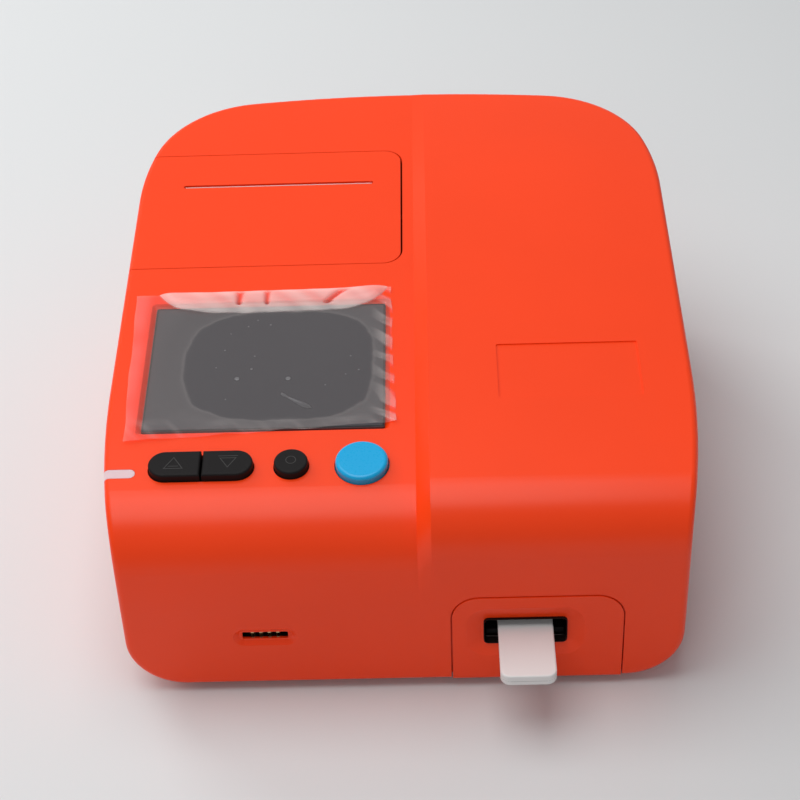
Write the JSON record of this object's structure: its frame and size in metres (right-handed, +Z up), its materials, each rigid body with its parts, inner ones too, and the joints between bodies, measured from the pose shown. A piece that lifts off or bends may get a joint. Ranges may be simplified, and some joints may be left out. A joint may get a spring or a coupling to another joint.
{
  "type": "bench immunoassay analyzer",
  "caption": "Bench-top veterinary hormone analyzer: stepped orange case with screen, keys, printer under a hinged lid, chip port and a motor-driven test cassette drawer.",
  "frame": {"origin": "on the bench surface, under the middle of the footprint, which reaches from the tip of the test cassette to the back of the case", "axes": "+X to the right seen from the front, +Y towards the back, +Z up"},
  "size_m": [0.241, 0.3134, 0.1183],
  "materials": {
    "case_orange": "satin moulded ABS",
    "base_grey": "fine texture",
    "panel_orange": "satin moulded ABS",
    "foot_rubber": "matte",
    "steel_screw": "zinc plated",
    "window_clear": "clear acrylic",
    "display_grey": "dark display face",
    "film_clear": "thin wrinkled film",
    "light_milky": "milky diffuser",
    "key_dark": "satin",
    "key_blue": "satin",
    "board_green": "solder mask",
    "switch_black": "moulded",
    "contact_gold": "gold flashed",
    "port_black": "moulded",
    "pin_steel": "ground",
    "bay_dark": "moulded",
    "paper_white": "thermal paper",
    "frame_steel": "pressed sheet",
    "head_ceramic": "print head bar",
    "platen_rubber": "ground rubber",
    "gear_white": "acetal",
    "motor_metal": "plated can",
    "chassis_black": "moulded",
    "carriage_grey": "moulded",
    "nut_brass": "turned",
    "cassette_white": "polystyrene",
    "optics_black": "moulded",
    "lens_glass": "coated lens",
    "chip_black": "moulded package",
    "socket_black": "moulded",
    "socket_steel": "nickel plated",
    "rocker_black": "satin"
  },
  "bodies": {
    "housing": {"upper_cover": "case_orange", "base_tray": "base_grey", "rubber_feet": "foot_rubber", "base_screws": "steel_screw", "slot_panel": "panel_orange", "screen_window": "window_clear", "lcd_module": "display_grey", "screen_film": "film_clear", "status_light_pipe": "light_milky", "key_board": "board_green", "key_board_screws": "steel_screw", "tact_switches": "switch_black", "id_port_shell": "port_black", "id_port_contacts": "contact_gold", "lid_hinge_pin": "pin_steel", "paper_bay": "bay_dark", "bay_screws": "steel_screw", "paper_strip": "paper_white", "printer_frame": "frame_steel", "print_head": "head_ceramic", "printer_motor": "motor_metal", "tray_chassis": "chassis_black", "guide_rods": "pin_steel", "tray_motor": "motor_metal", "motor_screws": "steel_screw", "optics_bracket": "frame_steel", "optics_housing": "optics_black", "optics_lens": "lens_glass", "optics_board": "board_green", "main_board": "board_green", "board_screws": "steel_screw", "board_chips": "chip_black", "buzzer": "chip_black", "dc_jack": "socket_black", "usb_socket": "socket_steel", "serial_socket": "socket_steel", "serial_jack_screws": "steel_screw", "power_switch_frame": "socket_black"},
    "printer_lid": {"printer_lid": "case_orange"},
    "paper_roll": {"paper_roll": "paper_white"},
    "platen": {"platen_roller": "platen_rubber", "platen_shaft": "pin_steel", "platen_gear": "gear_white"},
    "motor_pinion": {"motor_pinion": "gear_white"},
    "up_key": {"up_key": "key_dark"},
    "down_key": {"down_key": "key_dark"},
    "select_key": {"select_key": "key_dark"},
    "start_key": {"start_key": "key_blue"},
    "drawer": {"carriage": "carriage_grey", "screw_nut": "nut_brass", "cassette_base": "cassette_white", "cassette_top": "cassette_white"},
    "lead_screw": {"lead_screw": "pin_steel"},
    "power_rocker": {"power_rocker": "rocker_black"}
  },
  "joints": [
    {"name": "printer_lid_hinge", "type": "hinge", "parent": "housing", "child": "printer_lid", "pos_m": [-0.0073, 0.07019, 0.10575], "axis": [0, 0.9929, 0.1188], "range_deg": [0, 75]},
    {"name": "paper_roll_spin", "type": "hinge", "parent": "housing", "child": "paper_roll", "pos_m": [-0.0561, 0.0572, 0.0792], "axis": [1, 0, 0], "continuous": true},
    {"name": "platen_spin", "type": "hinge", "parent": "housing", "child": "platen", "pos_m": [-0.0561, 0.0927, 0.095], "axis": [1, 0, 0], "continuous": true},
    {"name": "motor_pinion_spin", "type": "hinge", "parent": "housing", "child": "motor_pinion", "pos_m": [-0.0133, 0.0927, 0.0815], "axis": [1, 0, 0], "continuous": true},
    {"name": "up_key_press", "type": "slide", "parent": "housing", "child": "up_key", "axis": [0, 0.1188, -0.9929], "range_m": [0, 0.001], "stiffness_N_per_m": 1500, "springref_m": -0.0003},
    {"name": "down_key_press", "type": "slide", "parent": "housing", "child": "down_key", "axis": [0, 0.1188, -0.9929], "range_m": [0, 0.001], "stiffness_N_per_m": 1500, "springref_m": -0.0003},
    {"name": "select_key_press", "type": "slide", "parent": "housing", "child": "select_key", "axis": [0, 0.1188, -0.9929], "range_m": [0, 0.001], "stiffness_N_per_m": 1500, "springref_m": -0.0003},
    {"name": "start_key_press", "type": "slide", "parent": "housing", "child": "start_key", "axis": [0, 0.1188, -0.9929], "range_m": [0, 0.001], "stiffness_N_per_m": 1500, "springref_m": -0.0003},
    {"name": "drawer_slide", "type": "slide", "parent": "housing", "child": "drawer", "axis": [0, 1, 0], "range_m": [0, 0.04]},
    {"name": "lead_screw_spin", "type": "hinge", "parent": "housing", "child": "lead_screw", "pos_m": [0.0486, -0.0463, 0.019], "axis": [0, 1, 0], "range_deg": [-3600, 0]},
    {"name": "power_rocker_hinge", "type": "hinge", "parent": "housing", "child": "power_rocker", "pos_m": [-0.038, 0.1479, 0.031], "axis": [1, 0, 0], "range_deg": [0, 14]}
  ],
  "couplings": [
    {"joint": "platen_spin", "follows": "paper_roll_spin", "ratio": 4},
    {"joint": "motor_pinion_spin", "follows": "paper_roll_spin", "ratio": -11.429},
    {"joint": "lead_screw_spin", "follows": "drawer_slide", "rad_per_m": -1570.8}
  ]
}
